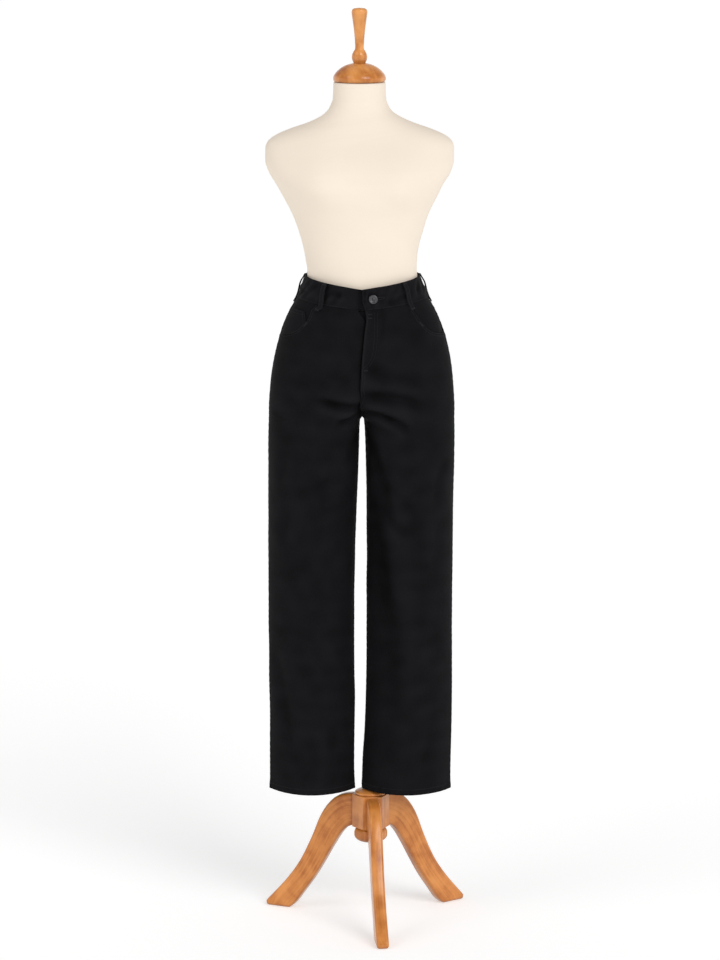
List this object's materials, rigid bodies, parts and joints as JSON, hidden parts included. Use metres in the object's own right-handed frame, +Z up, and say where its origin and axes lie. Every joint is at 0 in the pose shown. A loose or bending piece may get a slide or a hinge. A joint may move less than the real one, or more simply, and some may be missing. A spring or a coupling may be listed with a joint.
{
  "type": "black denim trousers on a dress form with a tripod stand",
  "caption": "Black high-rise denim trousers with straight wide legs, worn on a limbless cream dress form with a turned wooden cap and finial, on a wooden tripod stand.",
  "frame": {"origin": "on the floor, in the middle of the underside of the whole object's box", "axes": "+Z up; the front of the trousers faces -Y, so the wearer's right is -X"},
  "size_m": [0.412, 0.3794, 1.8483],
  "materials": {
    "black_denim": "matt black cotton twill with tonal topstitching",
    "black_denim_band": "the same twill, doubled, with tonal topstitching",
    "cream_jersey": "fine matt cream jersey",
    "orange_wood": "satin-varnished orange-brown wood",
    "pole_steel": "plain steel",
    "button_metal": "dark gunmetal"
  },
  "bodies": {
    "root": {"front_panel_right": "black_denim", "front_panel_left": "black_denim", "back_panel_right": "black_denim", "back_panel_left": "black_denim", "back_yoke_right": "black_denim", "back_yoke_left": "black_denim", "pocket_facing_right": "black_denim", "pocket_facing_left": "black_denim", "fly_shield": "black_denim", "waistband": "black_denim_band", "belt_loop_front_right": "black_denim_band", "belt_loop_front_left": "black_denim_band", "belt_loop_side_right": "black_denim_band", "belt_loop_side_left": "black_denim_band", "belt_loop_back": "black_denim_band", "coin_pocket": "black_denim_band", "back_pocket_right": "black_denim_band", "back_pocket_left": "black_denim_band", "form_body": "cream_jersey", "neck_cap": "orange_wood", "finial": "orange_wood", "base_plate": "orange_wood", "collar": "orange_wood", "hub": "orange_wood", "bottom_knob": "orange_wood", "leg_front": "orange_wood", "leg_left": "orange_wood", "leg_right": "orange_wood", "pole": "pole_steel", "button": "button_metal"}
  },
  "joints": []
}
